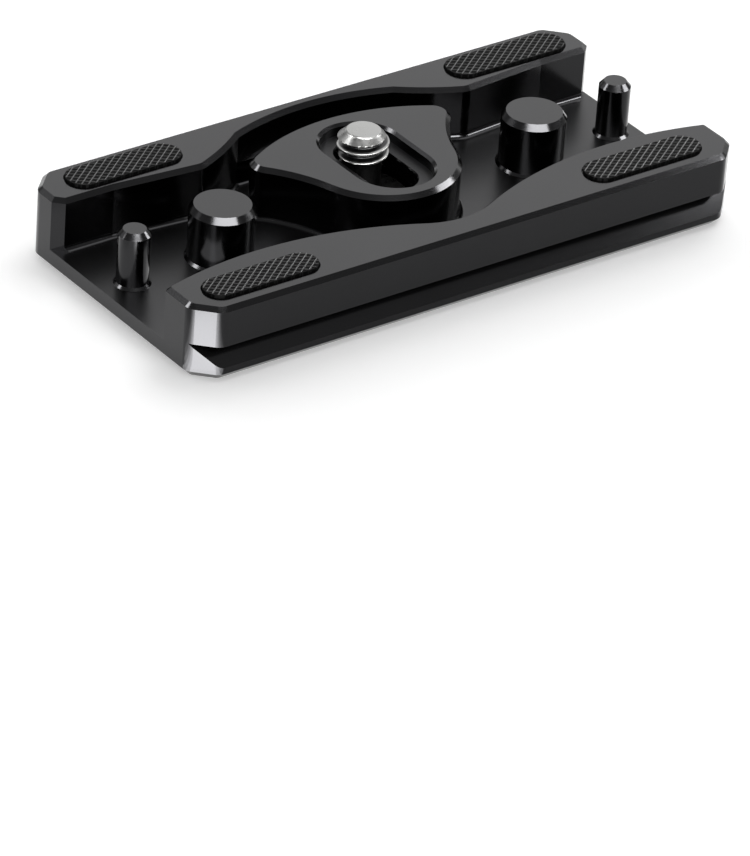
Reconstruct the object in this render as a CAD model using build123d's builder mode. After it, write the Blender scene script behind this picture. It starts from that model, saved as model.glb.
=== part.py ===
from build123d import *
from math import atan, cos, degrees, radians, sin, sqrt, tan
import os

# Quick release plate for a camera, millimetres.
# +X runs along the plate, +Y to the edge with the engraved scale, +Z up to the camera.
# The origin is at the centre of the bottom face.

# plate blank
plate_length = 79.0
plate_width = 37.2
plate_height = 9.7
corner_leg = 2.85
corner_radius = 1.8
top_chamfer = 0.55
bottom_chamfer = 0.95

# dovetail grooves along both long sides
lip_height = 1.75
groove_depth = 2.85
groove_angle = 45.0
groove_wall = 1.1

# open channel between the two rails
floor_height = 2.8
foot_radius = 0.8

# rear rail, the one with the scale, thinned by a recess behind the island
rear_rail_width = 7.2
rear_taper_start_x = 31.5
rear_taper_angle = 4.9
rear_corner_leg = 1.2
recess_rim_width = 1.9
recess_radius = 33.0
cusp_radius = 2.5

# front rail, two long humps with a hollow between them
front_peak_x = 25.5
front_rail_width = 9.8
front_hump_radius = 49.0
front_rim_width = 4.05
front_corner_leg = 0.4

# island round the camera screw, all of it placed from its centre
island_gap = 3.75
island_radius = 9.9
island_waist_angle = 18.1
island_waist_radius = 19.45
island_crown_reach = 11.15
island_crown_radius = 26.45
island_tip_radius = 2.2

# slots through the island, stacked from the top down
slot_offset = 0.55
slot_run = 6.5
top_slot_width = 10.0
top_slot_break = 0.35
ledge_top = 8.2
ledge_thickness = 2.0
neck_slot_width = 6.2
neck_slot_break = 0.15
head_slot_offset = 0.3
head_slot_run = 6.9
head_slot_width = 12.4
head_slot_break = 0.35

# round posts in the channel, with slim pins near the plate's ends
big_post_x = 22.9
big_post_offset = -0.35
big_post_diameter = 8.0
big_post_height = 9.85
big_post_top_inset = 0.54
big_post_top_drop = 0.76
left_pin_setback = 4.2
left_pin_offset = -0.3
right_pin_setback = 3.4
right_pin_offset = 0.75
pin_diameter = 3.95
pin_height = 10.0
pin_top_inset = 0.58
pin_top_drop = 0.68
post_foot_chamfer = 0.3

# blind tapped holes from below, under the big posts
tap_drill_diameter = 5.0
tap_mouth_diameter = 6.25
tap_depth = 8.0
tap_mouth_angle = 90.0

# rubber grip pads, each with its middle set back from the plate's end and in from its long edge
front_left_pad_setback = 10.85
front_left_pad_inset = 4.1
front_left_pad_length = 15.6
front_left_pad_width = 4.2
front_right_pad_setback = 12.45
front_right_pad_inset = 4.2
front_right_pad_length = 16.75
front_right_pad_width = 4.45
rear_left_pad_setback = 11.55
rear_left_pad_inset = 3.8
rear_left_pad_length = 15.75
rear_left_pad_width = 4.5
rear_right_pad_setback = 11.15
rear_right_pad_inset = 3.9
rear_right_pad_length = 17.25
rear_right_pad_width = 4.7
pad_proud = 0.45
pad_pocket_depth = 0.8
pad_clearance = 0.15
pad_chamfer = 0.15

# captive camera screw, 1/4 inch, resting at the rear end of its slot
screw_setback = 0.4
head_diameter = 11.8
head_underside = 0.4
head_thickness = 2.8
head_chamfer = 0.3
driver_slot_width = 1.5
driver_slot_depth = 1.2
driver_slot_angle = -32.7
neck_diameter = 4.8
thread_diameter = 6.35
thread_length = 2.4
thread_seat_clearance = 0.07
tip_diameter = 4.26
tip_length = 1.08

# worked out from the sizes above
overcut = 1.0
half_length = plate_length / 2
half_width = plate_width / 2
groove_ceiling = lip_height + groove_depth * tan(radians(groove_angle))
channel_height = plate_height - floor_height
rear_wall_y = half_width - rear_rail_width
recess_y = half_width - recess_rim_width
front_peak_y = front_rail_width - half_width
front_hollow_y = front_rim_width - half_width
island_crown_y = recess_y - island_gap
island_y = island_crown_y - island_crown_reach
ledge_bottom = ledge_top - ledge_thickness
slot_y = island_y + slot_offset
head_slot_y = island_y + head_slot_offset
big_post_y = island_y + big_post_offset
big_post_places = [(-big_post_x, big_post_y), (big_post_x, big_post_y)]
pin_places = [
    (left_pin_setback - half_length, island_y + left_pin_offset),
    (half_length - right_pin_setback, island_y + right_pin_offset),
]
screw_y = head_slot_y + head_slot_run / 2 - screw_setback
head_top = head_underside + head_thickness
thread_start = ledge_top + thread_seat_clearance

# centre, length and width of each pad
pads = {
    "pad_front_left": (
        (front_left_pad_setback - half_length, front_left_pad_inset - half_width),
        front_left_pad_length,
        front_left_pad_width,
    ),
    "pad_front_right": (
        (half_length - front_right_pad_setback, front_right_pad_inset - half_width),
        front_right_pad_length,
        front_right_pad_width,
    ),
    "pad_rear_left": (
        (rear_left_pad_setback - half_length, half_width - rear_left_pad_inset),
        rear_left_pad_length,
        rear_left_pad_width,
    ),
    "pad_rear_right": (
        (half_length - rear_right_pad_setback, half_width - rear_right_pad_inset),
        rear_right_pad_length,
        rear_right_pad_width,
    ),
}


def circle_y(centre, radius, x):
    """Height of the upper half of a circle above one x."""
    return centre[1] + sqrt(radius**2 - (x - centre[0]) ** 2)


def upper_crossing(first, first_radius, second, second_radius):
    """The higher of the two points where two circles cross."""
    dx = second[0] - first[0]
    dy = second[1] - first[1]
    apart = sqrt(dx**2 + dy**2)
    along = (first_radius**2 - second_radius**2 + apart**2) / (2 * apart)
    aside = sqrt(first_radius**2 - along**2)
    foot = (first[0] + along * dx / apart, first[1] + along * dy / apart)
    sides = [(foot[0] - s * aside * dy / apart, foot[1] + s * aside * dx / apart) for s in (-1, 1)]
    return max(sides, key=lambda point: point[1])


# rear rail: a straight wall, a slight taper, then the recess arc behind the island
recess_centre = (0, recess_y - recess_radius)
taper_slope = tan(radians(rear_taper_angle))
taper_zero_y = rear_wall_y - rear_taper_start_x * taper_slope
drop = taper_zero_y - recess_centre[1]
cusp_x = (sqrt(recess_radius**2 * (1 + taper_slope**2) - drop**2) - drop * taper_slope) / (1 + taper_slope**2)
cusp_y = taper_zero_y + cusp_x * taper_slope

# the recess stays clear of the dovetail groove, so its deep part stops short of the groove
recess_shelf_y = half_width - groove_depth - groove_wall
recess_shelf_height = groove_ceiling + groove_wall
shelf_x = sqrt(recess_radius**2 - (recess_shelf_y - recess_centre[1]) ** 2)

# front rail: the hollow arc is tangent to both humps
hump_centre = (front_peak_x, front_peak_y - front_hump_radius)
hollow_rise = front_hollow_y - hump_centre[1]
hollow_radius = (front_peak_x**2 + hollow_rise**2 - front_hump_radius**2) / (2 * (front_hump_radius - hollow_rise))
hollow_centre = (0, front_hollow_y + hollow_radius)
hump_share = front_hump_radius / (front_hump_radius + hollow_radius)
tangent_x = front_peak_x * (1 - hump_share)
tangent_y = hump_centre[1] + (hollow_centre[1] - hump_centre[1]) * hump_share
front_corner_x = half_length - front_corner_leg
front_corner_y = circle_y(hump_centre, front_hump_radius, front_corner_x)

# island: a round lobe, hollow waists tangent to it, and a wide crown
waist_direction = (cos(radians(island_waist_angle)), -sin(radians(island_waist_angle)))
lobe_end_x = island_radius * waist_direction[0]
lobe_end_y = island_y + island_radius * waist_direction[1]
waist_reach = island_radius + island_waist_radius
waist_centre = (waist_reach * waist_direction[0], island_y + waist_reach * waist_direction[1])
crown_centre = (0, island_crown_y - island_crown_radius)
island_tip = upper_crossing(waist_centre, island_waist_radius, crown_centre, island_crown_radius)

# base plate, milled from one block
with BuildPart() as base_plate:
    with BuildSketch() as blank_plan:
        Rectangle(plate_length, plate_width)
        chamfer(blank_plan.vertices(), length=corner_leg)
        fillet(blank_plan.vertices(), radius=corner_radius)
    extrude(amount=plate_height)
    chamfer(base_plate.faces().sort_by(Axis.Z)[0].edges(), length=bottom_chamfer)

    # dovetail grooves
    with BuildSketch(Plane.YZ.offset(-half_length - overcut)):
        with BuildLine():
            Polyline(
                (half_width + overcut, lip_height),
                (half_width, lip_height),
                (half_width - groove_depth, groove_ceiling),
                (half_width + overcut, groove_ceiling),
                close=True,
            )
        make_face()
        mirror(about=Plane.YZ)
    extrude(amount=plate_length + 2 * overcut, mode=Mode.SUBTRACT)

    # channel between the rails, open at both ends
    with BuildSketch(Plane.XY.offset(floor_height)) as channel_plan:
        with BuildLine():
            RadiusArc((0, front_hollow_y), (tangent_x, tangent_y), -hollow_radius)
            RadiusArc((tangent_x, tangent_y), (front_corner_x, front_corner_y), front_hump_radius)
            Polyline(
                (front_corner_x, front_corner_y),
                (half_length + overcut, front_corner_y - front_corner_leg - overcut),
                (half_length + overcut, rear_wall_y + rear_corner_leg + overcut),
                (half_length - rear_corner_leg, rear_wall_y),
                (rear_taper_start_x, rear_wall_y),
                (cusp_x, cusp_y),
            )
            RadiusArc((cusp_x, cusp_y), (shelf_x, recess_shelf_y), recess_radius)
            Line((shelf_x, recess_shelf_y), (0, recess_shelf_y))
            mirror(about=Plane.YZ)
        make_face()
        for side in (-1, 1):
            fillet(channel_plan.vertices().sort_by_distance((side * cusp_x, cusp_y))[0], radius=cusp_radius)
    extrude(amount=channel_height, mode=Mode.SUBTRACT)

    # island
    with BuildSketch(Plane.XY.offset(floor_height)) as island_plan:
        with BuildLine():
            RadiusArc((0, island_y - island_radius), (lobe_end_x, lobe_end_y), -island_radius)
            RadiusArc((lobe_end_x, lobe_end_y), island_tip, island_waist_radius)
            RadiusArc(island_tip, (0, island_crown_y), -island_crown_radius)
            mirror(about=Plane.YZ)
        make_face()
        for side in (-1, 1):
            tip = island_plan.vertices().sort_by_distance((side * island_tip[0], island_tip[1]))[0]
            fillet(tip, radius=island_tip_radius)
    extrude(amount=channel_height)

    # deeper sweep of the recess, above the dovetail groove
    with BuildSketch(Plane.XY.offset(recess_shelf_height)):
        with BuildLine():
            RadiusArc((-shelf_x, recess_shelf_y), (shelf_x, recess_shelf_y), recess_radius)
            Line((shelf_x, recess_shelf_y), (-shelf_x, recess_shelf_y))
        make_face()
    extrude(amount=plate_height - recess_shelf_height, mode=Mode.SUBTRACT)

    # hollow milled roots along the rails and the island
    floor_edges = base_plate.edges().filter_by_position(Axis.Z, floor_height, floor_height)
    fillet(
        floor_edges.filter_by(lambda edge: abs(edge.center().X) < half_length - foot_radius),
        radius=foot_radius,
    )

    # broken edges all round the top faces
    top_faces = base_plate.faces().filter_by_position(Axis.Z, plate_height, plate_height)
    chamfer(top_faces.edges(), length=top_chamfer)

    # round posts and slim pins, a little higher than the rails, with tapered tops
    for places, diameter, height, inset, drop in (
        (big_post_places, big_post_diameter, big_post_height, big_post_top_inset, big_post_top_drop),
        (pin_places, pin_diameter, pin_height, pin_top_inset, pin_top_drop),
    ):
        with BuildSketch(Plane.XY.offset(floor_height)):
            with Locations(*places):
                Circle(diameter / 2)
        extrude(amount=height - drop - floor_height)
        feet = base_plate.edges(Select.LAST).filter_by_position(Axis.Z, floor_height, floor_height)
        chamfer(feet, length=post_foot_chamfer)
        with BuildSketch(Plane.XY.offset(height - drop)):
            with Locations(*places):
                Circle(diameter / 2)
        extrude(amount=drop, taper=degrees(atan(inset / drop)))

    # slot for the screw: wide above the ledge, narrow through it, wide for the head below
    with BuildSketch(Plane.XY.offset(ledge_top)):
        with Locations((0, slot_y)):
            SlotCenterToCenter(slot_run, top_slot_width, rotation=90)
    extrude(amount=plate_height - ledge_top, mode=Mode.SUBTRACT)
    top_mouth = base_plate.edges(Select.LAST).filter_by_position(Axis.Z, plate_height, plate_height)
    chamfer(top_mouth, length=top_slot_break)
    with BuildSketch():
        with Locations((0, head_slot_y)):
            SlotCenterToCenter(head_slot_run, head_slot_width, rotation=90)
    extrude(amount=ledge_bottom, mode=Mode.SUBTRACT)
    head_mouth = base_plate.edges(Select.LAST).filter_by_position(Axis.Z, 0, 0)
    chamfer(head_mouth, length=head_slot_break)
    with BuildSketch(Plane.XY.offset(ledge_bottom)):
        with Locations((0, slot_y)):
            SlotCenterToCenter(slot_run, neck_slot_width, rotation=90)
    extrude(amount=ledge_thickness, mode=Mode.SUBTRACT)
    neck_mouth = base_plate.edges(Select.LAST).filter_by_position(Axis.Z, ledge_top, ledge_top)
    chamfer(neck_mouth, length=neck_slot_break)

    # blind tapped holes, drilled up into the big posts
    for side in (-1, 1):
        with Locations(Plane((side * big_post_x, big_post_y, 0), z_dir=(0, 0, -1))):
            CounterSinkHole(tap_drill_diameter / 2, tap_mouth_diameter / 2, tap_depth, tap_mouth_angle)

    # pockets for the pads
    with BuildSketch(Plane.XY.offset(plate_height - pad_pocket_depth)):
        for centre, length, width in pads.values():
            with Locations(centre):
                SlotOverall(length + 2 * pad_clearance, width + 2 * pad_clearance)
    extrude(amount=pad_pocket_depth, mode=Mode.SUBTRACT)

# rubber grip pads, pressed into their pockets
pad_parts = []
for name, (centre, length, width) in pads.items():
    with BuildPart() as pad:
        with BuildSketch(Plane.XY.offset(plate_height - pad_pocket_depth)):
            with Locations(centre):
                SlotOverall(length, width)
        extrude(amount=pad_pocket_depth + pad_proud)
        chamfer(pad.faces().sort_by(Axis.Z)[-1].edges(), length=pad_chamfer)
    pad.part.label = name
    pad_parts.append(pad.part)

# camera screw, turned, with a driver slot across its head
with BuildPart() as camera_screw:
    with BuildSketch(Plane((0, screw_y, 0), x_dir=(1, 0, 0), z_dir=(0, -1, 0))):
        with BuildLine():
            Polyline(
                (0, head_underside),
                (head_diameter / 2 - head_chamfer, head_underside),
                (head_diameter / 2, head_underside + head_chamfer),
                (head_diameter / 2, head_top - head_chamfer),
                (head_diameter / 2 - head_chamfer, head_top),
                (neck_diameter / 2, head_top),
                (neck_diameter / 2, thread_start),
                (thread_diameter / 2, thread_start),
                (thread_diameter / 2, thread_start + thread_length),
                (tip_diameter / 2, thread_start + thread_length + tip_length),
                (0, thread_start + thread_length + tip_length),
                close=True,
            )
        make_face()
    revolve(axis=Axis((0, screw_y, 0), (0, 0, 1)))
    with BuildSketch(Plane.XY.offset(head_underside)):
        with Locations((0, screw_y)):
            Rectangle(head_diameter + overcut, driver_slot_width, rotation=driver_slot_angle)
    extrude(amount=driver_slot_depth, mode=Mode.SUBTRACT)

base_plate.part.label = "base_plate"
camera_screw.part.label = "camera_screw"

os.makedirs("parts", exist_ok=True)
for piece in [base_plate.part, camera_screw.part, *pad_parts]:
    export_step(piece, f"parts/{piece.label}.step")
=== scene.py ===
"""Camera quick release plate: finishes, grip pads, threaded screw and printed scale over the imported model.

Sizes inside the classes are millimetres, as on a maker's drawing, and Blender gets metres.
+X runs along the plate, +Y points to the edge with the scale, and +Z up to the camera.
"""

import logging
import math
from dataclasses import dataclass, field
from enum import Enum
from typing import Callable

import bpy
from mathutils import Matrix, Quaternion, Vector

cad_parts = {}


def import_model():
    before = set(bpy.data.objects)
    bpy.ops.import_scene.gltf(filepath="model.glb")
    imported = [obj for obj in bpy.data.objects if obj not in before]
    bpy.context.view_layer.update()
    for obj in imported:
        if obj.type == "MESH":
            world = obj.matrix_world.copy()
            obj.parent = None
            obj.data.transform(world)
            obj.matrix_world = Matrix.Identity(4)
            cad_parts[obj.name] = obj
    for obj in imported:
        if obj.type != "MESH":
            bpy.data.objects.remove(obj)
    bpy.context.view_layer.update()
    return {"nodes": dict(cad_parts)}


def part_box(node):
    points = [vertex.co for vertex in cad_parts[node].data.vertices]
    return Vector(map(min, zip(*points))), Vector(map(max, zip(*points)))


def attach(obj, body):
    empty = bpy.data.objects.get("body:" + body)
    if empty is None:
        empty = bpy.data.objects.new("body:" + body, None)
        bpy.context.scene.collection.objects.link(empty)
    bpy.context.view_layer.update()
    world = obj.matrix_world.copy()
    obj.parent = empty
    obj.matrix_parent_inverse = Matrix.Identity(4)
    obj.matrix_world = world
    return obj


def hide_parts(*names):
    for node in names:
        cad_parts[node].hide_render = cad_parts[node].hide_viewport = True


Point = tuple[float, float, float]
Colour = tuple[float, float, float]
Span = tuple[float, float]
Socket = bpy.types.NodeSocket

log = logging.getLogger("plate")


class Body(Enum):
    """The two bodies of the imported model."""

    PLATE = "plate"
    SCREW = "screw"


class Slot(Enum):
    """The record's material slots."""

    ALUMINIUM = "anodised_aluminium"
    STEEL = "screw_steel"
    RUBBER = "pad_rubber"


class Mark(Enum):
    """Kinds of mark on the scale, with their lengths in millimetres."""

    MILLIMETRE = 1.05
    FIVE = 1.5
    CENTIMETRE = 2.0


def metres(point: Point) -> Vector:
    """A point in millimetres as a vector in metres."""
    return Vector(point) / 1000


def aim(azimuth: float, elevation: float) -> Vector:
    """Unit vector towards a compass angle and a height angle.

    Args:
        azimuth: degrees from +X towards +Y.
        elevation: degrees above the floor.

    Returns:
        The unit vector.
    """
    a, e = math.radians(azimuth), math.radians(elevation)
    return Vector((math.cos(e) * math.cos(a), math.cos(e) * math.sin(a), math.sin(e)))


def opaque(shade: Colour, tone: float = 1.0) -> tuple[float, ...]:
    """A shade times a tone, with full alpha."""
    return (*(part * tone for part in shade), 1.0)


def link(made: bpy.types.Object) -> bpy.types.Object:
    """Links an object to the scene and hands it back."""
    bpy.context.scene.collection.objects.link(made)
    return made


class NodeBench:
    """Lays out the nodes of one material or of the world."""

    def __init__(self, tree: bpy.types.NodeTree) -> None:
        """Starts with an empty tree."""
        self.tree = tree
        tree.nodes.clear()

    def add(self, kind: str, sockets: dict[str, object] | None = None, **settings: object) -> bpy.types.Node:
        """Adds one node.

        Args:
            kind: the node's type name, without its ShaderNode prefix.
            sockets: values or output sockets for the inputs, by name or number.
            settings: the node's own properties.

        Returns:
            The new node.
        """
        node = self.tree.nodes.new("ShaderNode" + kind)
        for key, value in settings.items():
            setattr(node, key, value)
        for key, value in (sockets or {}).items():
            if isinstance(value, Socket):
                self.tree.links.new(value, node.inputs[key])
            else:
                node.inputs[key].default_value = value
        return node

    def math(self, operation: str, *terms: object) -> Socket:
        """Adds a Math node and hands back its result; the terms are numbers or sockets."""
        return self.add("Math", dict(enumerate(terms)), operation=operation).outputs[0]

    def noise(self, grain: float, detail: float = 2.0, where: object = None) -> Socket:
        """Adds a Noise Texture.

        Args:
            grain: size of one grain in millimetres.
            detail: how many finer layers it has.
            where: the coordinates' socket, or None for the object's own.

        Returns:
            The noise value's socket.
        """
        if where is None:
            where = self.add("TexCoord").outputs["Object"]
        node = self.add("TexNoise", {"Vector": where, "Scale": 1000 / grain, "Detail": detail})
        return node.outputs["Fac"]

    def spread(self, value: object, result: Span = (0.0, 1.0), source: Span = (0.3, 0.7)) -> Socket:
        """Maps a value from one range to another and keeps it inside.

        Args:
            value: the value's socket.
            result: the results at the two ends of the source range.
            source: the range that is mapped; the usual one is that of a noise.

        Returns:
            The mapped value's socket.
        """
        node = self.add("MapRange", {0: value, 1: source[0], 2: source[1], 3: result[0], 4: result[1]})
        return node.outputs[0]

    def ramp(self, length: object, start: float, end: float) -> Socket:
        """Rises from 0 to 1 while a length goes from start to end, both in millimetres."""
        return self.spread(length, source=(start / 1000, end / 1000))

    def fall(self, length: object, start: float, end: float) -> Socket:
        """Falls from 1 to 0 while a length goes from start to end, both in millimetres."""
        return self.spread(length, (1.0, 0.0), (start / 1000, end / 1000))

    def blend(self, share: object, first: object, second: object) -> Socket:
        """Mixes two colours.

        Args:
            share: how much of the second colour shows, from 0 to 1.
            first: the first colour, or its socket.
            second: the second colour, or its socket.

        Returns:
            The mixed colour's socket.
        """
        return self.add("Mix", {0: share, 6: first, 7: second}, data_type="RGBA").outputs[2]

    def bump(self, height: Socket, depth: float, strength: float = 1.0) -> Socket:
        """Turns a height into a normal.

        Args:
            height: the height's socket, from 0 to 1.
            depth: the depth of the relief in millimetres.
            strength: how strongly it shows.

        Returns:
            The normal's socket.
        """
        sockets = {"Height": height, "Distance": depth / 1000, "Strength": strength}
        return self.add("Bump", sockets).outputs["Normal"]

    def surface(self, shader: bpy.types.Node) -> None:
        """Ends the tree with this shader."""
        self.add("OutputMaterial", {"Surface": shader.outputs[0]})

    def principled(self, **sockets: object) -> None:
        """Ends the tree with a principled shader; an underscore stands for a space in a socket's name."""
        named = {key.replace("_", " "): value for key, value in sockets.items()}
        self.surface(self.add("BsdfPrincipled", named))


@dataclass(frozen=True)
class Finish:
    """A surface finish, which makes its material once."""

    name: str

    def material(self) -> bpy.types.Material:
        """Makes the finish's material on first use.

        Returns:
            The material, which all pieces in this finish share.
        """
        made = bpy.data.materials.get(self.name)
        if made is None:
            made = bpy.data.materials.new(self.name)
            made.use_nodes = True
            self.lay(NodeBench(made.node_tree))
        return made

    def lay(self, bench: NodeBench) -> None:
        """Lays out the finish's nodes on the bench."""
        raise NotImplementedError(self.name)


@dataclass(frozen=True)
class BlackAnodising(Finish):
    """Bead-blasted aluminium under a black dyed oxide, a shade paler where edges are rubbed.

    The floor of the channel and the ledge in the slot are milled, so they are rougher: milled_levels holds
    their heights and how much roughness each one gains.
    """

    name: str = "black_anodising"
    shade: Colour = (0.026, 0.026, 0.027)
    thin_tone: float = 0.94
    rubbed: Colour = (0.050, 0.050, 0.051)
    edge: float = 0.12
    edge_turn: Span = (0.93, 0.985)
    roughness: Span = (0.14, 0.18)
    blast_grain: float = 0.09
    blast_depth: float = 0.004
    cloud_grain: float = 9.0
    milled_levels: tuple[Span, ...] = ((2.8, 0.16), (8.2, 0.30))
    level_reach: Span = (0.1, 0.4)
    upward_slope: Span = (0.90, 0.98)

    def milled(self, bench: NodeBench) -> Socket:
        """Finds the milled levels by their height.

        Args:
            bench: where the nodes go.

        Returns:
            The socket of the roughness that they add.
        """
        coordinates = bench.add("TexCoord").outputs
        level = bench.add("SeparateXYZ", {0: coordinates["Object"]}).outputs[2]
        slope = bench.add("SeparateXYZ", {0: coordinates["Normal"]}).outputs[2]
        extra: object = 0.0
        for height, gain in self.milled_levels:
            away = bench.math("ABSOLUTE", bench.math("SUBTRACT", level, height / 1000))
            near = bench.fall(away, *self.level_reach)
            extra = bench.math("MULTIPLY_ADD", near, gain, extra)
        return bench.math("MULTIPLY", extra, bench.spread(slope, source=self.upward_slope))

    def lay(self, bench: NodeBench) -> None:
        """Lays out fine blasting, a slow cloud in the dye, milled levels and rubbed edges.

        Args:
            bench: where the nodes go.
        """
        blasting = bench.noise(self.blast_grain, 3.0)
        cloud = bench.noise(self.cloud_grain)
        soft = bench.add("Bevel", {"Radius": self.edge / 1000}, samples=6).outputs["Normal"]
        hard = bench.add("NewGeometry").outputs["Normal"]
        turn = bench.add("VectorMath", {0: soft, 1: hard}, operation="DOT_PRODUCT").outputs["Value"]
        edges = bench.spread(turn, (1.0, 0.0), self.edge_turn)
        wear = bench.math("MULTIPLY", edges, bench.spread(cloud, (0.1, 0.5)))
        dye = bench.blend(bench.spread(cloud), opaque(self.shade, self.thin_tone), opaque(self.shade))
        bench.principled(
            Base_Color=bench.blend(wear, dye, opaque(self.rubbed)),
            Metallic=1.0,
            Roughness=bench.math("ADD", self.milled(bench), bench.spread(blasting, self.roughness)),
            Normal=bench.bump(blasting, self.blast_depth, strength=0.25),
        )


@dataclass(frozen=True)
class TurnedSteel(Finish):
    """Bright steel off the lathe, with fine tool rings round its axis.

    The thread's roots and the neck get painted shade, told by their depth below the thread's outside, which
    is a cylinder and then a cone.
    """

    name: str = "turned_steel"
    shade: Colour = (0.28, 0.28, 0.275)
    scratch_tone: float = 0.88
    # Painted shade: darker tones for the cone and the top, and a dark colour for the thread's grooves and
    # the neck.
    cone_tone: float = 0.55
    top_tone: float = 0.84
    groove_shade: Colour = (0.030, 0.030, 0.030)
    groove_depth: Span = (0.10, 0.32)
    roughness: Span = (0.26, 0.36)
    relief: float = 0.003
    ring_pitch: float = 0.16
    ring_share: float = 0.35
    scratch_grain: float = 0.5
    axis_y: float = 5.15
    thread_radius: float = 3.175
    cone_start: float = 10.65
    cone_slope: float = 1.066
    shaft: Span = (3.25, 11.5)
    blur: float = 0.1

    def lay(self, bench: NodeBench) -> None:
        """Lays out rings, small scratches, painted shade in the thread's grooves and on the neck, and
        painted shade on the cone and the top.

        Args:
            bench: where the nodes go.
        """
        place = bench.add("TexCoord").outputs["Object"]
        shift = (0, -self.axis_y / 1000, 0)
        centred = bench.add("VectorMath", {0: place, 1: shift}, operation="ADD").outputs[0]
        x, y, z = bench.add("SeparateXYZ", {0: centred}).outputs
        flat = bench.add("CombineXYZ", {0: x, 1: y}).outputs[0]
        radius = bench.add("VectorMath", {0: flat}, operation="LENGTH").outputs["Value"]

        run = bench.math("ADD", radius, z)
        rings = bench.math("SINE", bench.math("MULTIPLY", run, 2000 * math.pi / self.ring_pitch))
        scratches = bench.noise(self.scratch_grain, 4.0, centred)
        height = bench.math("MULTIPLY_ADD", rings, self.ring_share, scratches)

        low, high = self.shaft
        below_top = bench.fall(z, high, high + self.blur)
        on_shaft = bench.math("MULTIPLY", bench.ramp(z, low, low + self.blur), below_top)
        above_thread = bench.ramp(z, self.cone_start, self.cone_start + self.blur)
        on_cone = bench.math("MULTIPLY", above_thread, below_top)
        foot = (self.thread_radius + self.cone_slope * self.cone_start) / 1000
        cone = bench.math("MULTIPLY_ADD", z, -self.cone_slope, foot)
        outside = bench.math("MINIMUM", cone, self.thread_radius / 1000)
        # Painted shade: the thread's roots and the neck are darkened by their depth below the outside.
        below = bench.ramp(bench.math("SUBTRACT", outside, radius), *self.groove_depth)
        groove = bench.math("MULTIPLY", below, on_shaft)

        scratched = opaque(self.shade, self.scratch_tone)
        steel = bench.blend(bench.spread(scratches), scratched, opaque(self.shade))
        # Painted shade: the cone and the top disc are toned darker than the rest of the steel.
        steel = bench.blend(on_cone, steel, opaque(self.shade, self.cone_tone))
        steel = bench.blend(below_top, opaque(self.shade, self.top_tone), steel)
        bench.principled(
            Base_Color=bench.blend(groove, steel, opaque(self.groove_shade)),
            Metallic=1.0,
            Roughness=bench.spread(scratches, self.roughness),
            Normal=bench.bump(height, self.relief, strength=0.35),
        )


@dataclass(frozen=True)
class BlackRubber(Finish):
    """Firm black rubber, with painted highlights on its ribs, which are told by their height: grey on the
    lower ribs and paler on the crests.
    """

    name: str = "black_rubber"
    shade: Colour = (0.003, 0.003, 0.003)
    # Painted highlights: the grey of the lower ribs and the paler grey of the crests.
    second_shade: Colour = (0.022, 0.022, 0.022)
    crest_shade: Colour = (0.170, 0.170, 0.170)
    rib_top: float = 10.15
    rib_rise: float = 0.13
    second_drop: float = 0.04
    margin: float = 0.01
    roughness: Span = (0.55, 0.36)
    gloss: Span = (0.03, 0.32)
    grain: float = 0.07
    grain_depth: float = 0.006

    def lay(self, bench: NodeBench) -> None:
        """Lays out black valleys and sides, painted highlights on the lower ribs and paler ones on the
        crests, and a fine grain.

        Args:
            bench: where the nodes go.
        """
        place = bench.add("TexCoord").outputs["Object"]
        height = bench.add("SeparateXYZ", {0: place}).outputs[2]
        second_top = self.rib_top - self.second_drop
        rib = bench.ramp(height, self.rib_top - self.rib_rise + 2 * self.margin, second_top)
        crest = bench.ramp(height, second_top + self.margin, self.rib_top - self.margin)
        grain = bench.noise(self.grain, 3.0, place)
        # Painted highlight on the ribs and their crests, over the black rubber of the valleys.
        dark = bench.blend(rib, opaque(self.shade), opaque(self.second_shade))
        polish = bench.spread(rib, self.roughness, (0.0, 1.0))
        bench.principled(
            Base_Color=bench.blend(crest, dark, opaque(self.crest_shade)),
            Roughness=bench.math("ADD", polish, bench.spread(grain, (-0.04, 0.04))),
            IOR=1.52,
            Specular_IOR_Level=bench.spread(rib, self.gloss, (0.0, 1.0)),
            Normal=bench.bump(grain, self.grain_depth, strength=0.3),
        )


@dataclass(frozen=True)
class ScalePaint(Finish):
    """White printing ink, slightly uneven."""

    name: str = "scale_paint"
    shade: Colour = (0.80, 0.80, 0.79)
    thin_shade: Colour = (0.66, 0.66, 0.65)
    roughness: Span = (0.45, 0.6)
    grain: float = 0.12
    grain_depth: float = 0.004

    def lay(self, bench: NodeBench) -> None:
        """Lays out uneven ink with a soft gloss.

        Args:
            bench: where the nodes go.
        """
        ink = bench.noise(self.grain, 3.0)
        bench.principled(
            Base_Color=bench.blend(bench.spread(ink), opaque(self.thin_shade), opaque(self.shade)),
            Roughness=bench.spread(ink, self.roughness),
            Normal=bench.bump(ink, self.grain_depth, strength=0.3),
        )


@dataclass(frozen=True)
class WhitePaper(Finish):
    """The white floor, which keeps the plate's shadow."""

    name: str = "white_paper"
    shade: Colour = (0.80, 0.80, 0.80)
    thin_shade: Colour = (0.79, 0.79, 0.79)
    grain: float = 4.0
    glow: float = 0.36

    def lay(self, bench: NodeBench) -> None:
        """Lays out a pale diffuse floor that reads as white to the camera, to gloss and to glass.

        Args:
            bench: where the nodes go.
        """
        path = bench.add("LightPath").outputs
        seen = bench.math("MAXIMUM", path["Is Camera Ray"], path["Is Glossy Ray"])
        seen = bench.math("MAXIMUM", seen, path["Is Transmission Ray"])
        fibre = bench.spread(bench.noise(self.grain, 3.0))
        tint = bench.blend(fibre, opaque(self.thin_shade), opaque(self.shade))
        paper = bench.add("BsdfDiffuse", {"Color": tint})
        glow = bench.add("Emission", {"Color": (1, 1, 1, 1), "Strength": self.glow})
        lit = bench.add("AddShader", {0: paper.outputs[0], 1: glow.outputs[0]})
        bench.surface(bench.add("MixShader", {0: seen, 1: paper.outputs[0], 2: lit.outputs[0]}))


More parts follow.
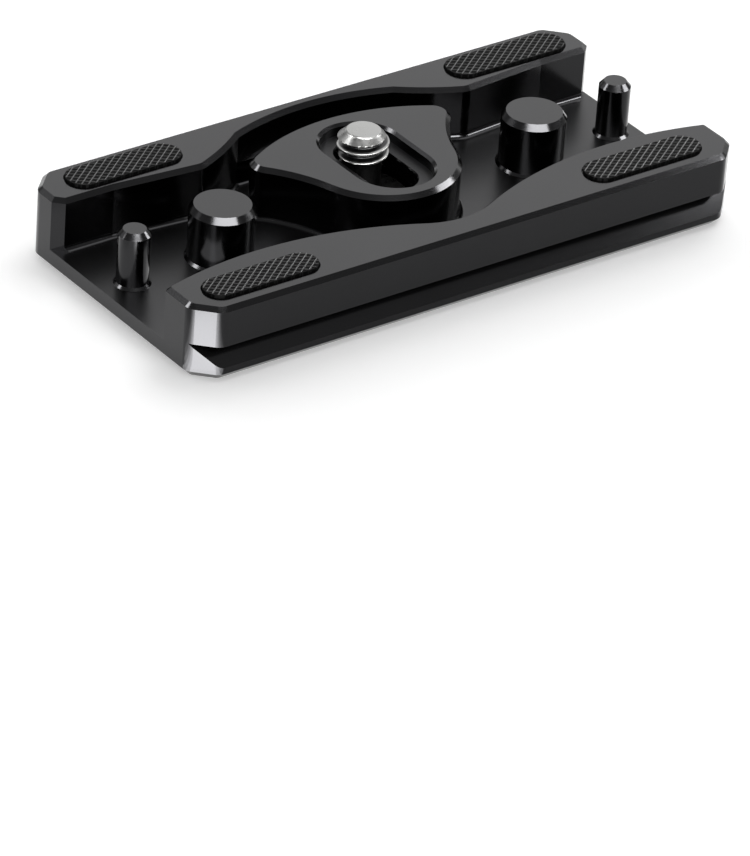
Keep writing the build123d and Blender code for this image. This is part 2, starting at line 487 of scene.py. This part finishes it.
@dataclass
class Shell:
    """Points and faces of one piece, in millimetres."""

    points: list[Point] = field(default_factory=list)
    faces: list[tuple[int, ...]] = field(default_factory=list)

    def patch(self, rows: list[list[Point]], around: bool = False, closed: bool = False) -> int:
        """Adds a sheet of quads.

        Seen from its outer side, each row runs to the right and the next row lies above it.

        Args:
            rows: rows of points, all the same length.
            around: whether each row's last point joins its first.
            closed: whether the last row joins the first.

        Returns:
            The number of the sheet's first point.
        """
        start, width = len(self.points), len(rows[0])
        for row in rows:
            self.points.extend(row)
        for r in range(len(rows) if closed else len(rows) - 1):
            below = [start + r * width + c for c in range(width)]
            above = [start + (r + 1) % len(rows) * width + c for c in range(width)]
            self.join(below, above, around)
        return start

    def join(self, below: list[int], above: list[int], around: bool = True) -> None:
        """Adds quads between two rows of points.

        Args:
            below: the numbers of the lower row's points.
            above: the numbers of the upper row's points.
            around: whether each row's last point joins its first.
        """
        width = len(below)
        for c in range(width if around else width - 1):
            n = (c + 1) % width
            self.faces.append((below[c], below[n], above[n], above[c]))

    def lid(self, ring: list[int]) -> None:
        """Closes a ring of points with one face."""
        self.faces.append(tuple(ring))

    def block(self, low: Point, high: Point, shift: float = 0.0) -> None:
        """Adds a small bar with slanted sides on its +Y face.

        Args:
            low: its lowest corner.
            high: its highest corner.
            shift: how far the sides lean in at the +Y face.
        """
        (x0, y0, z0), (x1, y1, z1) = low, high
        base = [(x0, y0, z0), (x1, y0, z0), (x1, y0, z1), (x0, y0, z1)]
        face = [(x0 + shift, y1, z0 + shift), (x1 - shift, y1, z0 + shift)]
        face += [(x1 - shift, y1, z1 - shift), (x0 + shift, y1, z1 - shift)]
        start = self.patch([face, base], around=True)
        self.lid([start + i for i in (3, 2, 1, 0)])
        self.lid([start + i for i in (4, 5, 6, 7)])

    def piece(self, name: str, finish: Finish, smooth: float = 40.0) -> bpy.types.Object:
        """Makes the Blender object.

        Args:
            name: the piece's name.
            finish: what it is finished in.
            smooth: edges flatter than this many degrees are shaded smooth.

        Returns:
            The linked object.
        """
        mesh = bpy.data.meshes.new(name)
        mesh.from_pydata([metres(p) for p in self.points], [], self.faces)
        mesh.validate()
        mesh.materials.append(finish.material())
        mesh.shade_smooth()
        mesh.set_sharp_from_angle(angle=math.radians(smooth))
        return link(bpy.data.objects.new(name, mesh))


@dataclass
class GripPad:
    """A rubber strip with crossed ribs on top, cut from ribbed sheet."""

    node: str
    ribs_along: float
    ribs_across: float = 1.064
    rise: float = 0.13
    second_height: float = 0.69
    dip: float = 0.18
    rib_width: float = 0.24
    crest_width: float = 0.06
    rim_width: float = 0.14
    rows: int = 150
    columns: int = 400

    def rib(self, x: float, y: float, side: int) -> float:
        """Height of one family of ribs.

        Args:
            x: place along the plate.
            y: place across the plate.
            side: 1 or -1, the way the ribs lean.

        Returns:
            The height, from 0 to 1.
        """
        turns = self.ribs_along * x - side * self.ribs_across * y
        away = abs(turns - round(turns)) / math.hypot(self.ribs_along, self.ribs_across)
        share = (away - self.crest_width / 2) / (self.rib_width / 2 - self.crest_width / 2)
        return 1.0 - min(1.0, max(0.0, share))

    def sheet(self, low: Vector, high: Vector) -> list[list[Point]]:
        """Shapes the ribbed top of a strip with round ends.

        Args:
            low: lowest corner of the strip's box.
            high: highest corner of the strip's box.

        Returns:
            The rows of points, from front to rear.
        """
        middle_x, middle_y = (low.x + high.x) / 2, (low.y + high.y) / 2
        radius = (high.y - low.y) / 2
        straight = (high.x - low.x) / 2 - radius
        sheet: list[list[Point]] = []
        for r in range(self.rows + 1):
            turn = math.pi * (r / self.rows - 0.5)
            y = middle_y + radius * math.sin(turn)
            reach = straight + radius * math.cos(turn)
            row: list[Point] = []
            for c in range(self.columns + 1):
                x = middle_x + reach * (2 * c / self.columns - 1)
                beyond = max(0.0, abs(x - middle_x) - straight)
                inside = min(1.0, (radius - math.hypot(beyond, y - middle_y)) / self.rim_width)
                first, second = self.rib(x, y, 1), self.rib(x, y, -1)
                rib = max(first * (1 - self.dip * (1 - second)), second * self.second_height)
                row.append((x, y, high.z - self.rise * (1 - rib * max(0.0, inside))))
            sheet.append(row)
        return sheet

    def build(self) -> bpy.types.Object:
        """Builds the strip inside its CAD node's box.

        Returns:
            The pad, riding on the plate in place of its node.
        """
        low, high = (corner * 1000 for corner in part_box(self.node))
        shell = Shell()
        shell.patch(self.sheet(low, high))
        width = self.columns + 1
        rim = list(range(width))
        rim += [r * width + self.columns for r in range(1, self.rows)]
        rim += list(range((self.rows + 1) * width - 1, self.rows * width - 1, -1))
        rim += [r * width for r in range(self.rows - 1, 0, -1)]
        foot = [len(shell.points) + i for i in range(len(rim))]
        shell.points.extend([(*shell.points[i][:2], low.z) for i in rim])
        shell.join(foot, rim)
        shell.lid(foot[::-1])
        pad = shell.piece(self.node + "_ribbed", BlackRubber(), smooth=60)
        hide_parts(self.node)
        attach(pad, Body.PLATE.value)
        return pad


@dataclass
class CameraScrew:
    """The captive screw: slotted head, thin neck and a rolled right-handed thread."""

    axis_y: float = 5.15
    head_radius: float = 5.9
    head_low: float = 0.4
    head_high: float = 3.2
    head_chamfer: float = 0.3
    head_centre: float = 0.5
    slot_width: float = 1.5
    slot_depth: float = 1.2
    slot_angle: float = -32.7
    slot_reach: float = 8.0
    edge_break: float = 0.07
    edge_angle: float = 38.0
    sharp_angle: float = 30.0
    neck_radius: float = 2.4
    neck_overlap: float = 0.3
    thread_radius: float = 3.175
    crest_flat: float = 0.10
    flank: float = 0.78
    pitch: float = 1.27
    crest_height: float = 9.88
    crest_azimuth: float = 232.0
    runout: Span = (8.24, 8.65)
    cone_start: float = 10.65
    top: float = 11.75
    tip_radius: float = 2.13
    tip_round: float = 0.12
    tip_lean: float = 1.2
    tip_steps: int = 4
    around: int = 180
    row_height: float = 0.04

    def thread(self, turn: float, z: float) -> float:
        """Radius of the threaded end.

        Args:
            turn: angle round the axis in radians.
            z: height.

        Returns:
            The radius there.
        """
        lead = self.crest_height + self.pitch * (turn - math.radians(self.crest_azimuth)) / (2 * math.pi)
        steps = (z - lead) / self.pitch
        away = abs(steps - round(steps)) * 2
        profile = 0.5 + 0.5 * math.cos(math.pi * min(1.0, max(0.0, (away - self.crest_flat) / self.flank)))
        begin, full = self.runout
        share = min(1.0, max(0.0, (z - begin) / (full - begin)))
        crest = self.neck_radius + (self.thread_radius - self.neck_radius) * math.sqrt(share)
        radius = self.neck_radius + (crest - self.neck_radius) * profile
        slope = (self.thread_radius - self.tip_radius) / (self.top - self.tip_round - self.cone_start)
        return min(radius, self.thread_radius - (z - self.cone_start) * slope)

    def ring(self, z: float, radius: Callable[[float], float]) -> list[Point]:
        """One ring of points round the axis.

        Args:
            z: its height.
            radius: the radius for each angle.

        Returns:
            The points.
        """
        points: list[Point] = []
        for i in range(self.around):
            turn = 2 * math.pi * i / self.around
            reach = radius(turn)
            points.append((reach * math.cos(turn), self.axis_y + reach * math.sin(turn), z))
        return points

    def shaft(self) -> Shell:
        """Shapes the neck, thread and rounded tip.

        Returns:
            The closed shell.
        """
        shell = Shell()
        begin, shoulder = self.runout[0], self.top - self.tip_round
        neck_heights = (self.head_high - self.neck_overlap, begin - self.row_height / 2)
        rows = [self.ring(z, lambda turn: self.neck_radius) for z in neck_heights]
        steps = int((shoulder - begin) / self.row_height)
        for i in range(steps + 1):
            z = begin + (shoulder - begin) * i / steps
            rows.append(self.ring(z, lambda turn, z=z: self.thread(turn, z)))
        for i in range(1, self.tip_steps + 1):
            lean = math.pi / 2 * i / self.tip_steps
            reach = self.tip_radius - self.tip_round * (1 - math.cos(lean)) * self.tip_lean
            z = shoulder + self.tip_round * math.sin(lean)
            rows.append(self.ring(z, lambda turn, reach=reach: reach))
        start = shell.patch(rows, around=True)
        last = start + (len(rows) - 1) * self.around
        shell.lid([last + i for i in range(self.around)])
        shell.lid([start + i for i in reversed(range(self.around))])
        return shell

    def head(self) -> Shell:
        """Shapes the head before its driver slot is cut.

        Returns:
            The closed shell.
        """
        low, high, rim = self.head_low, self.head_high, self.head_radius
        cut, middle = self.head_chamfer, self.head_centre
        profile = [(middle, low), (rim - cut, low), (rim, low + cut), (rim, high - cut), (rim - cut, high)]
        profile.append((middle, high))
        shell = Shell()
        start = shell.patch([self.ring(z, lambda turn, r=r: r) for r, z in profile], around=True)
        shell.lid([start + i for i in reversed(range(self.around))])
        last = start + (len(profile) - 1) * self.around
        shell.lid([last + i for i in range(self.around)])
        return shell

    def cut_driver_slot(self, head: bpy.types.Object) -> None:
        """Cuts the driver slot across the head and breaks its edges.

        Args:
            head: the head's object, whose mesh is replaced.
        """
        bar = Shell()
        reach, half = self.slot_reach, self.slot_width / 2
        bar.block((-reach, -half, self.head_low - 1), (reach, half, self.head_low + self.slot_depth))
        cutter = bar.piece("driver_slot_cutter", TurnedSteel())
        turn = Matrix.Rotation(math.radians(self.slot_angle), 4, "Z")
        cutter.matrix_world = Matrix.Translation(metres((0, self.axis_y, 0))) @ turn
        cut = head.modifiers.new("slot", "BOOLEAN")
        cut.operation, cut.solver, cut.object = "DIFFERENCE", "EXACT", cutter
        broken = head.modifiers.new("break", "BEVEL")
        broken.width, broken.segments, broken.limit_method = self.edge_break / 1000, 2, "ANGLE"
        broken.angle_limit = math.radians(self.edge_angle)
        bpy.context.view_layer.update()
        depsgraph = bpy.context.evaluated_depsgraph_get()
        finished = bpy.data.meshes.new_from_object(head.evaluated_get(depsgraph))
        head.modifiers.clear()
        head.data = finished
        bpy.data.objects.remove(cutter)
        finished.shade_smooth()
        finished.set_sharp_from_angle(angle=math.radians(self.sharp_angle))

    def build(self) -> list[bpy.types.Object]:
        """Builds the screw in place of its CAD node.

        Returns:
            The threaded shaft and the head, both riding on the screw's body.
        """
        steel = TurnedSteel(axis_y=self.axis_y)
        shaft = self.shaft().piece("camera_screw_thread", steel, smooth=50)
        head = self.head().piece("camera_screw_head", steel, smooth=self.sharp_angle)
        self.cut_driver_slot(head)
        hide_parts("camera_screw")
        for made in (shaft, head):
            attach(made, Body.SCREW.value)
        return [shaft, head]


@dataclass
class CutThread:
    """A thread cut in a bore, as a thin sleeve.

    It runs all round in the two tapped holes, and over part of the bore at the end of the screw's slot.
    """

    name: str
    x: float
    y: float = 1.45
    bore_radius: float = 2.5
    depth: float = 0.3
    pitch: float = 1.0
    low: float = 0.45
    high: float = 7.7
    fade: float = 0.5
    arc: Span = (0.0, 360.0)
    bury: float = 0.02
    wall: float = 0.1
    around: int = 72
    per_turn: int = 14

    def at(self, share: float, reach: float, z: float) -> Point:
        """A point at this share of the arc, this far from the bore's axis."""
        turn = math.radians(self.arc[0] + (self.arc[1] - self.arc[0]) * share)
        return (self.x + reach * math.cos(turn), self.y + reach * math.sin(turn), z)

    def build(self) -> bpy.types.Object:
        """Builds the sleeve.

        Returns:
            The sleeve, riding on the plate.
        """
        shell = Shell()
        first, last = self.arc
        whole = last - first == 360.0
        shares = [k / self.around for k in range(self.around + (0 if whole else 1))]
        steps = int((self.high - self.low) / self.pitch * self.per_turn)
        inner: list[list[Point]] = []
        for i in range(steps + 1):
            z = self.low + (self.high - self.low) * i / steps
            fade = min(1.0, (z - self.low) / self.fade, (self.high - z) / self.fade)
            row: list[Point] = []
            for share in shares:
                turn = (first + (last - first) * share) / 360
                ridge = 0.5 + 0.5 * math.cos(2 * math.pi * (z / self.pitch - turn))
                reach = self.bore_radius + self.bury - self.depth * ridge * max(0.0, fade)
                row.append(self.at(share, reach, z))
            inner.append(row)
        back = self.bore_radius + self.wall
        outer = [[self.at(share, back, z) for share in shares] for z in (self.low, self.high)]
        rows = [*outer, *reversed(inner)]
        start = shell.patch(rows, around=whole, closed=True)
        if not whole:
            first_end = [start + r * len(shares) for r in range(len(rows))]
            shell.lid(first_end)
            shell.lid([i + len(shares) - 1 for i in reversed(first_end)])
        made = shell.piece(self.name, BlackAnodising(), smooth=80)
        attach(made, Body.PLATE.value)
        return made


@dataclass
class PrintedScale:
    """The millimetre scale with its numbers, printed on the long edge above the dovetail groove."""

    face_y: float = 18.6
    reach: int = 35
    foot: float = 5.08
    stroke: float = 0.23
    ink: float = 0.02
    sink: float = 0.01
    last_number: int = 3
    digit_foot: float = 7.25
    digit_height: float = 1.5
    cap_share: float = 0.73
    one_foot: Span = (0.32, 0.15)
    one_stem: float = 0.11
    one_flag: tuple[Span, ...] = ((-0.03, 1.5), (-0.34, 1.26), (-0.34, 1.08), (-0.11, 1.2))

    def rank(self, place: int) -> Mark:
        """Tells the kind of a mark.

        Args:
            place: millimetres from the middle, with its sign.

        Returns:
            The kind of mark.
        """
        if place % 10 == 0:
            return Mark.CENTIMETRE
        return Mark.FIVE if place % 5 == 0 else Mark.MILLIMETRE

    def marks(self) -> bpy.types.Object:
        """Prints all the marks.

        Returns:
            The marks as one piece.
        """
        shell = Shell()
        half = self.stroke / 2
        for place in range(-self.reach, self.reach + 1):
            high = self.foot + self.rank(place).value
            low_corner = (place - half, self.face_y - self.sink, self.foot)
            shell.block(low_corner, (place + half, self.face_y + self.ink, high), self.ink / 2)
        return shell.piece("scale_marks", ScalePaint())

    def one(self, name: str, place: int) -> bpy.types.Object:
        """Prints the number 1 with its flag and foot, seen from +Y.

        Args:
            name: the piece's name.
            place: centimetres from the middle, with its sign.

        Returns:
            The number as a mesh object.
        """
        (wide, thick), stem = self.one_foot, self.one_stem
        outline = [(-wide, 0.0), (wide, 0.0), (wide, thick), (stem, thick), (stem, self.digit_height)]
        outline += [*self.one_flag, (-stem, thick), (-wide, thick)]
        shell = Shell()
        rows = [
            [(10.0 * place - right, y, self.digit_foot + up) for right, up in outline]
            for y in (self.face_y - self.sink, self.face_y + self.ink)
        ]
        start = shell.patch(rows, around=True)
        front = [start + len(outline) + i for i in range(len(outline))]
        shell.lid(front)
        shell.lid([i - len(outline) for i in reversed(front)])
        return shell.piece(name, ScalePaint())

    def digit(self, place: int) -> bpy.types.Object:
        """Prints one number above its centimetre mark.

        Args:
            place: centimetres from the middle, with its sign.

        Returns:
            The number as a mesh object.
        """
        side = "left" if place < 0 else "right" if place > 0 else "middle"
        name = f"scale_number_{side}_{abs(place)}"
        if abs(place) == 1:
            return self.one(name, place)
        text = bpy.data.curves.new(name + "_outline", "FONT")
        text.body = str(abs(place))
        text.align_x = "CENTER"
        text.size = self.digit_height / self.cap_share / 1000
        text.extrude = (self.ink + self.sink) / 2000
        carrier = link(bpy.data.objects.new(name + "_carrier", text))
        bpy.context.view_layer.update()
        mesh = bpy.data.meshes.new_from_object(carrier.evaluated_get(bpy.context.evaluated_depsgraph_get()))
        bpy.data.objects.remove(carrier)
        stand = Matrix(((-1, 0, 0), (0, 0, 1), (0, 1, 0))).to_4x4()
        middle_y = self.face_y + (self.ink - self.sink) / 2
        mesh.transform(Matrix.Translation(metres((10.0 * place, middle_y, self.digit_foot))) @ stand)
        mesh.materials.clear()
        mesh.materials.append(ScalePaint().material())
        return link(bpy.data.objects.new(name, mesh))

    def build(self) -> list[bpy.types.Object]:
        """Prints the scale.

        Returns:
            The marks and the seven numbers, all riding on the plate.
        """
        numbers = range(-self.last_number, self.last_number + 1)
        made = [self.marks(), *(self.digit(place) for place in numbers)]
        for piece in made:
            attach(piece, Body.PLATE.value)
        return made


@dataclass
class BasePlate:
    """The milled plate, whose CAD node stays and gets its anodised finish."""

    node: bpy.types.Object
    finish: Finish = field(default_factory=BlackAnodising)

    def dress(self) -> bpy.types.Object:
        """Gives the plate its finish.

        Returns:
            The plate's node.
        """
        self.node.data.materials.clear()
        self.node.data.materials.append(self.finish.material())
        return self.node


def area_lamp(name: str, width: float, height: float, radiance: float) -> bpy.types.Object:
    """Makes a rectangular lamp that the camera doesn't see.

    Args:
        name: the lamp's name.
        width: its width in metres.
        height: its height in metres.
        radiance: how bright its face is.

    Returns:
        The linked lamp, still at the origin.
    """
    light = bpy.data.lights.new(name, "AREA")
    light.shape, light.size, light.size_y = "RECTANGLE", width, height
    light.energy = radiance * math.pi * width * height
    lamp = link(bpy.data.objects.new(name, light))
    lamp.visible_camera = False
    return lamp


@dataclass
class SoftBox:
    """A rectangular studio lamp that points at the plate, with its sizes and distance in metres."""

    name: str
    azimuth: float
    elevation: float
    distance: float
    width: float
    height: float
    radiance: float
    gloss_only: bool = False
    roll: float = 0.0
    target: Point = (0.0, 0.0, 6.0)

    def hang(self) -> bpy.types.Object:
        """Hangs the lamp.

        Returns:
            The lamp.
        """
        lamp = area_lamp(self.name, self.width, self.height, self.radiance)
        towards = aim(self.azimuth, self.elevation)
        lamp.location = metres(self.target) + towards * self.distance
        facing = towards.to_track_quat("Z", "Y") @ Quaternion((0, 0, 1), math.radians(self.roll))
        lamp.rotation_euler = facing.to_euler()
        lamp.visible_diffuse = not self.gloss_only
        return lamp


@dataclass
class FloorCard:
    """A lit card lying on the floor, which only gloss shows."""

    name: str
    start: Span
    azimuth: float
    reach: float
    width: float
    radiance: float
    rise: float = 0.05

    def hang(self) -> bpy.types.Object:
        """Lays the card down, shining up.

        Returns:
            The card's lamp.
        """
        lamp = area_lamp(self.name, self.reach / 1000, self.width / 1000, self.radiance)
        turn = math.radians(self.azimuth)
        x = self.start[0] + self.reach / 2 * math.cos(turn)
        y = self.start[1] + self.reach / 2 * math.sin(turn)
        lamp.location = metres((x, y, self.rise))
        lamp.rotation_euler = (math.pi, 0.0, turn)
        lamp.visible_diffuse = False
        return lamp


@dataclass
class Studio:
    """White floor, soft surroundings, lamps and the camera."""

    floor_size: float = 6000.0
    floor_drop: float = 0.02
    sky: float = 0.42
    camera_place: Point = (-411.34, -527.25, 379.48)
    camera_right: Point = (0.80876, -0.58493, 0.06138)
    camera_up: Point = (0.26261, 0.45252, 0.85221)
    camera_back: Point = (-0.52626, -0.67311, 0.51959)
    sensor: float = 36.0
    lens: float = 308.84

    def floor(self) -> bpy.types.Object:
        """Lays the floor just under the plate.

        Returns:
            The floor.
        """
        half = self.floor_size / 2
        shell = Shell()
        steps = [-half, -half / 8, 0.0, half / 8, half]
        shell.patch([[(x, y, -self.floor_drop) for x in steps] for y in steps])
        made = shell.piece("floor", WhitePaper())
        return made

    def surroundings(self) -> None:
        """Sets a soft grey room, which the camera and glass see as white."""
        world = bpy.data.worlds.new("room")
        bpy.context.scene.world = world
        world.use_nodes = True
        bench = NodeBench(world.node_tree)
        path = bench.add("LightPath").outputs
        white = bench.math("MAXIMUM", path["Is Camera Ray"], path["Is Transmission Ray"])
        tint = bench.blend(white, opaque((1, 1, 1), self.sky), opaque((1, 1, 1)))
        back = bench.add("Background", {"Color": tint, "Strength": 1.0})
        bench.add("OutputWorld", {"Surface": back.outputs[0]})

    def camera(self) -> bpy.types.Object:
        """Stands the camera where the photograph was taken from.

        Returns:
            The camera.
        """
        data = bpy.data.cameras.new("camera")
        data.sensor_fit, data.sensor_width, data.lens = "HORIZONTAL", self.sensor, self.lens
        data.clip_start, data.clip_end = 0.01, 20.0
        made = link(bpy.data.objects.new("camera", data))
        turn = Matrix((self.camera_right, self.camera_up, self.camera_back)).transposed().to_4x4()
        made.matrix_world = Matrix.Translation(metres(self.camera_place)) @ turn
        bpy.context.scene.camera = made
        return made

    def lamps(self) -> list[bpy.types.Object]:
        """Hangs the lamps and lays the cards.

        The cards at the left corner overlap, so that their light fades towards its edges.

        Returns:
            The lamps and cards.
        """
        near_target = (5.0, -7.5, 9.4)
        boxes = [
            SoftBox("back_wall_lamp", 52, 31, 1.2, 2.0, 1.2, 1.4),
            SoftBox("front_lamp", 244, 39, 1.0, 1.5, 0.38, 25.0, gloss_only=True, roll=5.0),
            SoftBox("right_lamp", -16.5, 26.5, 0.115, 0.056, 0.0173, 30.0, True, -33.6, near_target),
            SoftBox("left_top_lamp", 142, 39.4, 1.0, 0.22, 0.20, 22.0, gloss_only=True),
            SoftBox("left_lamp", 127.6, 31.7, 1.2, 0.8, 0.5, 1.2),
            SoftBox("ceiling_lamp", 10, 62, 1.0, 0.8, 0.6, 2.2),
        ]
        cards = [
            FloorCard("corner_card_1", (-38.1, -17.2), 217, 17.0, 4.0, 9.0, 0.10),
            FloorCard("corner_card_2", (-38.1, -17.2), 217, 17.5, 6.5, 6.0, 0.08),
            FloorCard("corner_card_3", (-38.3, -17.4), 217, 17.5, 9.5, 5.0, 0.06),
            FloorCard("corner_card_4", (-39.0, -18.0), 217, 17.5, 13.0, 3.0, 0.05),
            FloorCard("corner_card_5", (-39.8, -18.6), 217, 17.5, 17.0, 2.0, 0.04),
            FloorCard("left_post_card", (-28.1, -2.05), 214, 4.5, 8.0, 1.4, 2.84),
            FloorCard("end_card", (-39.6, 6.0), 180, 12.0, 46.0, 0.5),
        ]
        return [lamp.hang() for lamp in (*boxes, *cards)]

    def build(self) -> None:
        """Sets up the whole studio."""
        bpy.context.scene.view_settings.view_transform = "Standard"
        self.camera()
        self.floor()
        self.surroundings()
        self.lamps()


def main() -> None:
    """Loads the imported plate, dresses it and sets up the studio."""
    logging.basicConfig(level=logging.INFO, format="%(name)s: %(message)s")
    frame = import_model()
    Studio().build()
    log.info("studio ready")
    plate = BasePlate(frame["nodes"]["base_plate"]).dress()
    log.info("dressed %s", plate.name)
    pads = [
        GripPad("pad_front_left", 0.84, 1.123),
        GripPad("pad_front_right", 0.771, 1.123),
        GripPad("pad_rear_left", 0.83),
        GripPad("pad_rear_right", 0.771),
    ]
    for pad in pads:
        log.info("built %s", pad.build().name)
    for piece in CameraScrew().build():
        log.info("built %s", piece.name)
    threads = [
        CutThread("tapped_thread_left", -22.9),
        CutThread("tapped_thread_right", 22.9),
        CutThread(
            "slot_entry_thread",
            x=0.0,
            y=-0.9,
            bore_radius=3.1,
            depth=0.17,
            pitch=1.27,
            low=6.2,
            high=8.05,
            fade=0.1,
            arc=(205.0, 350.0),
        ),
    ]
    for thread in threads:
        log.info("cut %s", thread.build().name)
    for piece in PrintedScale().build():
        log.info("printed %s", piece.name)


if __name__ == "__main__":
    main()
